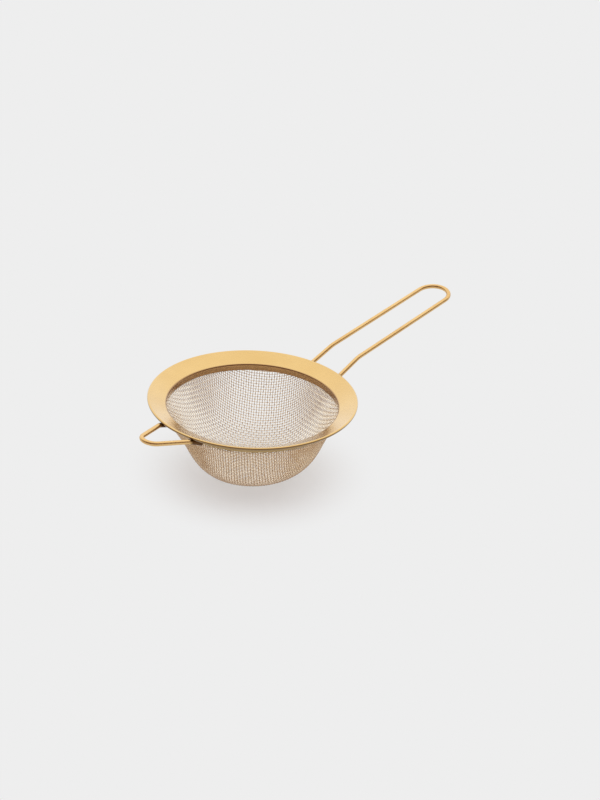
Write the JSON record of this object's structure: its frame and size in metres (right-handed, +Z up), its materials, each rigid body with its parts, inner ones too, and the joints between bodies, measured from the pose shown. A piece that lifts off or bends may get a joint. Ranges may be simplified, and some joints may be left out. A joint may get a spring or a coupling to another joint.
{
  "type": "fine mesh strainer",
  "caption": "Gold-coloured fine-mesh strainer: woven wire bowl under a wide sloping rim, with a long bent-wire handle and a small wire rest hook opposite.",
  "frame": {"origin": "middle of the bowl's flat bottom, on the surface the strainer stands on", "axes": "+Z up out of the bowl's mouth; +X from the bowl's axis towards the handle, -X towards the rest hook"},
  "size_m": [0.1867, 0.09, 0.0523],
  "materials": {
    "gold_sheet": "satin gold-coloured plating on sheet steel",
    "gold_woven_wire": "plain-woven fine wire with pale gold-coloured plating",
    "gold_ring": "satin gold-coloured plating, in shade under the rim",
    "gold_wire": "bright drawn wire with gold-coloured plating",
    "gold_weld": "small plated weld nuggets, slightly rough"
  },
  "bodies": {
    "root": {"rim_flange": "gold_sheet", "mesh_bowl": "gold_woven_wire", "retaining_ring": "gold_ring", "handle_wire": "gold_wire", "rest_hook": "gold_wire", "weld_handle_left": "gold_weld", "weld_handle_right": "gold_weld", "weld_hook_left": "gold_weld", "weld_hook_right": "gold_weld"}
  },
  "joints": []
}
